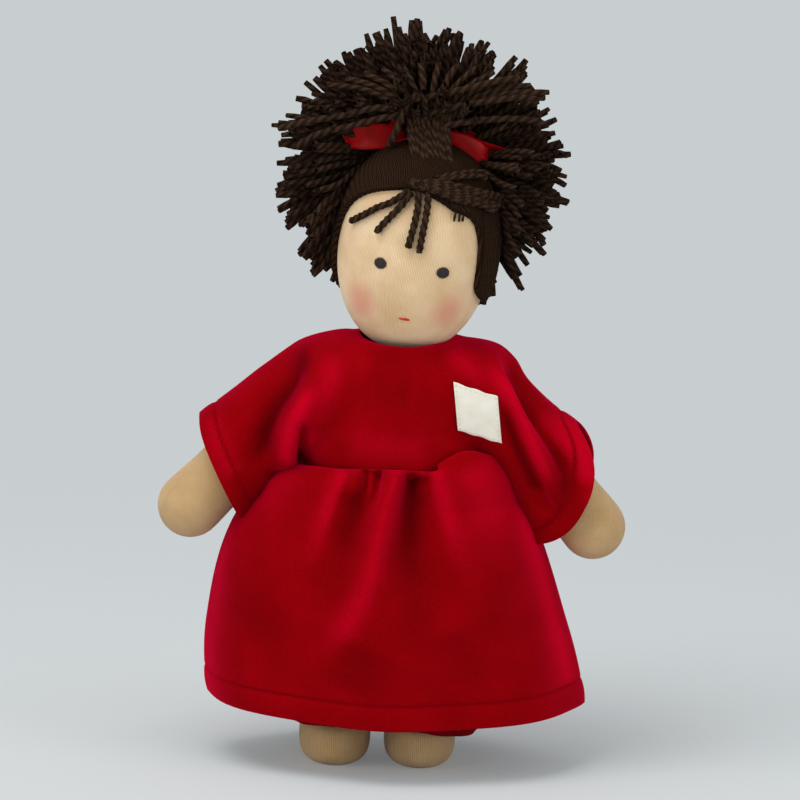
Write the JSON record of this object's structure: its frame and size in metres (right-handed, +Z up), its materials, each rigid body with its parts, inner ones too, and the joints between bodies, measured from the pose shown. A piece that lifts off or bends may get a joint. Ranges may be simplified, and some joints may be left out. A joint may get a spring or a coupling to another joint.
{
  "type": "soft cloth doll",
  "caption": "Soft stuffed cloth doll with a yarn wig in a tuft tied with a bow, a short-sleeved velour dress and jersey trousers, standing on its own feet.",
  "frame": {"origin": "On the floor under the middle of the doll's outline box", "axes": "+Z up along the standing doll, the face looks along -Y, the doll's own left hand is on +X"},
  "size_m": [0.2198, 0.1537, 0.3451],
  "materials": {
    "tricot": "matt fine-ribbed cotton knit",
    "wool": "matt carded wool",
    "hair_yarn": "matt plied cotton yarn",
    "satin": "satin",
    "velour": "napped cotton velour with a soft sheen",
    "jersey": "matt dotted cotton jersey",
    "label_cotton": "matt plain-woven cotton",
    "eye_thread": "matt embroidery thread",
    "mouth_thread": "embroidery thread",
    "elastic": "matt woven elastic",
    "button_plastic": "polished"
  },
  "bodies": {
    "torso": {"torso_skin": "tricot", "torso_stuffing": "wool", "neck_tie": "elastic", "waist_elastic": "elastic", "bodice": "velour", "neck_binding": "velour", "label": "label_cotton", "back_button": "button_plastic", "skirt": "velour"},
    "head": {"head_skin": "tricot", "head_wool": "wool", "eye_left": "eye_thread", "eye_right": "eye_thread", "mouth": "mouth_thread", "hair_cap": "hair_yarn", "hair_tuft": "hair_yarn", "ribbon_band": "satin", "ribbon_knot": "satin", "ribbon_loop_left": "satin", "ribbon_loop_right": "satin", "ribbon_tail_left": "satin", "ribbon_tail_right": "satin", "fringe_strand_1": "hair_yarn", "fringe_strand_2": "hair_yarn", "fringe_strand_3": "hair_yarn", "fringe_strand_4": "hair_yarn", "fringe_strand_5": "hair_yarn", "fringe_knot": "hair_yarn"},
    "arm_left": {"arm_left_skin": "tricot", "arm_left_stuffing": "wool", "sleeve_left": "velour"},
    "arm_right": {"arm_right_skin": "tricot", "arm_right_stuffing": "wool", "sleeve_right": "velour"},
    "hips": {"hip_strip": "tricot", "trousers": "jersey"},
    "leg_left": {"leg_left_skin": "tricot", "leg_left_stuffing": "wool"},
    "leg_right": {"leg_right_skin": "tricot", "leg_right_stuffing": "wool"}
  },
  "joints": [
    {"name": "neck_turn", "type": "hinge", "parent": "torso", "child": "head", "pos_m": [0.0029, -0.0132, 0.2], "axis": [0.1132, 0, 0.9936], "range_deg": [-40, 40]},
    {"name": "shoulder_left", "type": "hinge", "parent": "torso", "child": "arm_left", "pos_m": [0.04183, -0.0132, 0.181], "axis": [0, -1, 0], "range_deg": [0, 42], "deforming": ["sleeve_left"]},
    {"name": "shoulder_right", "type": "hinge", "parent": "torso", "child": "arm_right", "pos_m": [-0.03717, -0.0132, 0.181], "axis": [0, 1, 0], "range_deg": [0, 42], "deforming": ["sleeve_right"]},
    {"name": "sit", "type": "hinge", "parent": "torso", "child": "hips", "pos_m": [-0.0031, -0.0132, 0.098], "axis": [-1, 0, 0], "range_deg": [0, 85], "deforming": ["trousers", "skirt"]},
    {"name": "leg_swing_left", "type": "hinge", "parent": "hips", "child": "leg_left", "pos_m": [0.0169, -0.0132, 0.0925], "axis": [-1, 0, 0], "range_deg": [-12, 12]},
    {"name": "leg_swing_right", "type": "hinge", "parent": "hips", "child": "leg_right", "pos_m": [-0.0231, -0.0132, 0.0925], "axis": [-1, 0, 0], "range_deg": [-12, 12]}
  ]
}
